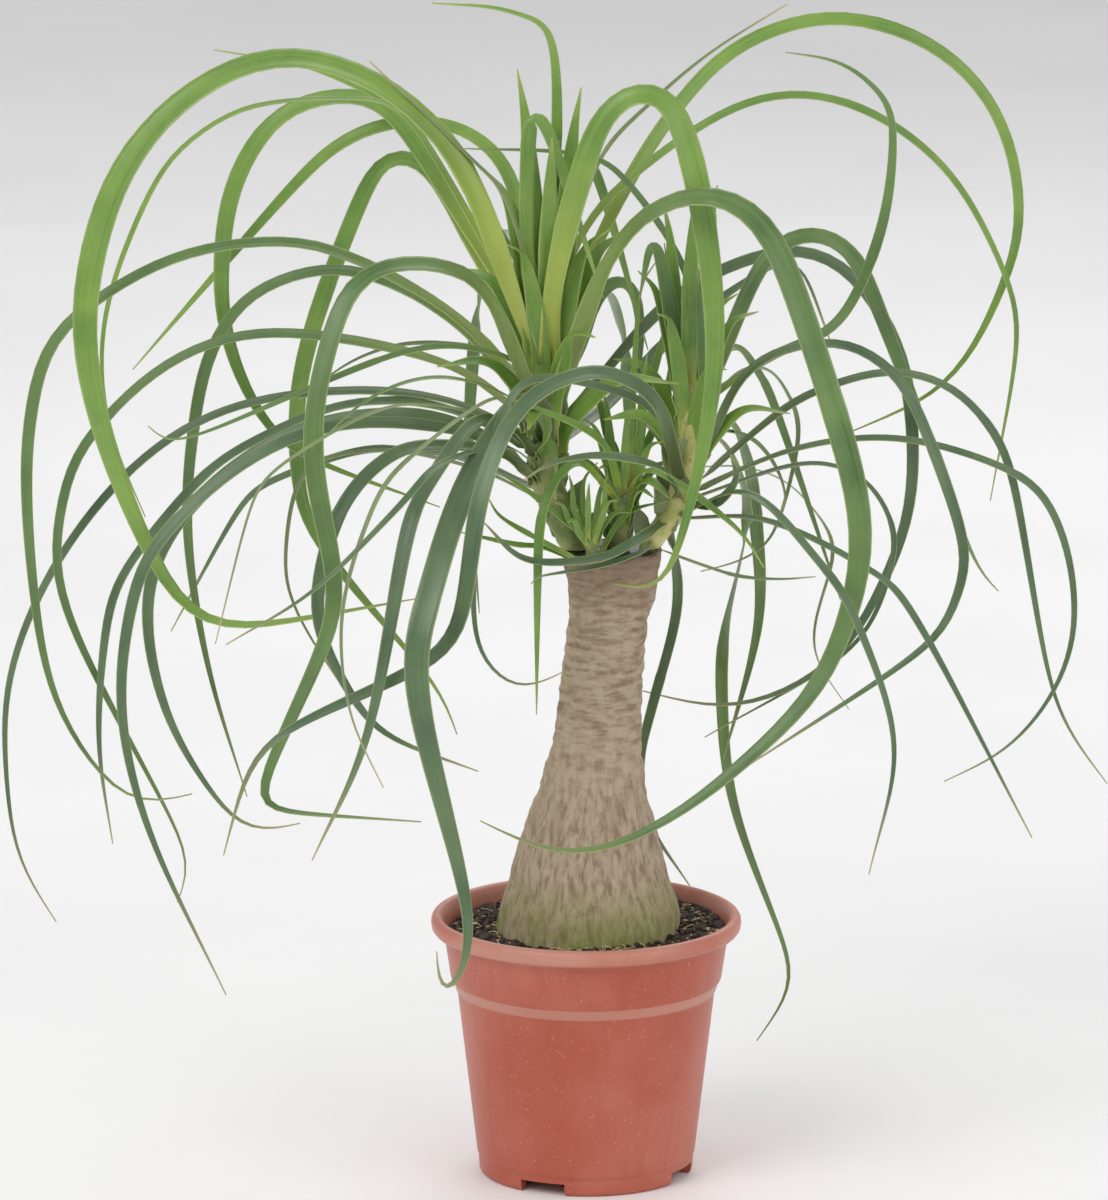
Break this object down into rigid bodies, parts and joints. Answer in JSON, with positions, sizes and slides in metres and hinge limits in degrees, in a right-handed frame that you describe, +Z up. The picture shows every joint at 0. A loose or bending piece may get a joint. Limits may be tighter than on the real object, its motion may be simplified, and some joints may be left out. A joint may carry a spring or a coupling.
{
  "type": "potted plant",
  "caption": "Ponytail palm in a round nursery pot: swollen bark trunk with several shoots of long arching strap leaves",
  "frame": {"origin": "centre of the pot's base, at the level of its feet", "axes": "+Z up along the pot's axis, front of the plant faces -Y, +X to the viewer's right"},
  "size_m": [0.6123, 0.4233, 0.6467],
  "materials": {
    "pot_plastic": "satin",
    "peat": "matte",
    "bark": "matte",
    "sheath": "satin",
    "blade": "satin"
  },
  "bodies": {
    "root": {"pot": "pot_plastic", "soil": "peat", "trunk": "bark", "shoot_front": "sheath", "shoot_middle": "sheath", "shoot_right": "sheath", "shoot_tall": "sheath", "leaf_back_1": "blade", "leaf_back_2": "blade", "leaf_front_01": "blade", "leaf_middle_01": "blade", "leaf_middle_02": "blade", "leaf_middle_03": "blade", "leaf_middle_04": "blade", "leaf_right_01": "blade", "leaf_right_02": "blade", "leaf_right_03": "blade", "leaf_right_04": "blade", "leaf_right_05": "blade", "leaf_right_06": "blade", "leaf_right_07": "blade", "leaf_right_08": "blade", "leaf_right_09": "blade", "leaf_right_10": "blade", "leaf_right_11": "blade", "leaf_right_12": "blade", "leaf_tall_01": "blade", "leaf_tall_02": "blade", "leaf_tall_03": "blade", "leaf_tall_04": "blade", "leaf_tall_05": "blade", "leaf_tall_06": "blade", "leaf_tall_07": "blade", "leaf_tall_08": "blade", "leaf_tall_09": "blade", "leaf_tall_10": "blade", "leaf_tall_11": "blade", "leaf_tall_12": "blade", "leaf_tall_13": "blade", "leaf_tall_14": "blade", "leaf_tall_15": "blade", "leaf_tall_16": "blade", "leaf_tall_17": "blade", "leaf_tall_18": "blade", "leaf_tall_19": "blade", "leaf_tall_20": "blade", "leaf_tall_21": "blade", "leaf_tall_22": "blade", "leaf_tall_23": "blade", "leaf_tall_24": "blade", "leaf_tall_25": "blade"}
  },
  "joints": []
}
